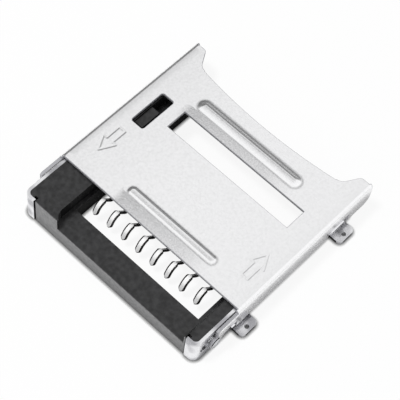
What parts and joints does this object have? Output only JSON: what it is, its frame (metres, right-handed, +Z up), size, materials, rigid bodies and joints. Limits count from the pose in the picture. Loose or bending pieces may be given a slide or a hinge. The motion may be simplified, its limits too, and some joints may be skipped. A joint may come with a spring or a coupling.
{
  "type": "memory card connector",
  "caption": "Hinged surface-mount socket for a thumbnail-size memory card: moulded tray, spring contacts, side brackets and a sheet cover that slides to lock and flips up.",
  "frame": {"origin": "middle of the footprint, on the board surface", "axes": "+X across the contacts, +Y from the hinge end to the free end of the cover, +Z up from the board"},
  "size_m": [0.0148, 0.0142, 0.0025],
  "materials": {
    "black_plastic": "moulded, fine matt",
    "contact_metal": "bright plated spring alloy",
    "bracket_metal": "rolled sheet, tin plated",
    "pin_metal": "turned, bare",
    "cover_metal": "rolled stainless sheet, satin"
  },
  "bodies": {
    "base": {"housing": "black_plastic", "contact_1": "contact_metal", "contact_2": "contact_metal", "contact_3": "contact_metal", "contact_4": "contact_metal", "contact_5": "contact_metal", "contact_6": "contact_metal", "contact_7": "contact_metal", "contact_8": "contact_metal", "bracket_left": "bracket_metal", "bracket_right": "bracket_metal"},
    "pins": {"hinge_pin_left": "pin_metal", "hinge_pin_right": "pin_metal"},
    "lid": {"cover": "cover_metal"}
  },
  "joints": [
    {"name": "cover_slide", "type": "slide", "parent": "base", "child": "pins", "axis": [0, 1, 0], "range_m": [-0.0006, 0]},
    {"name": "cover_hinge", "type": "hinge", "parent": "pins", "child": "lid", "pos_m": [0, -0.0057, 0.001], "axis": [1, 0, 0], "range_deg": [0, 105]}
  ]
}
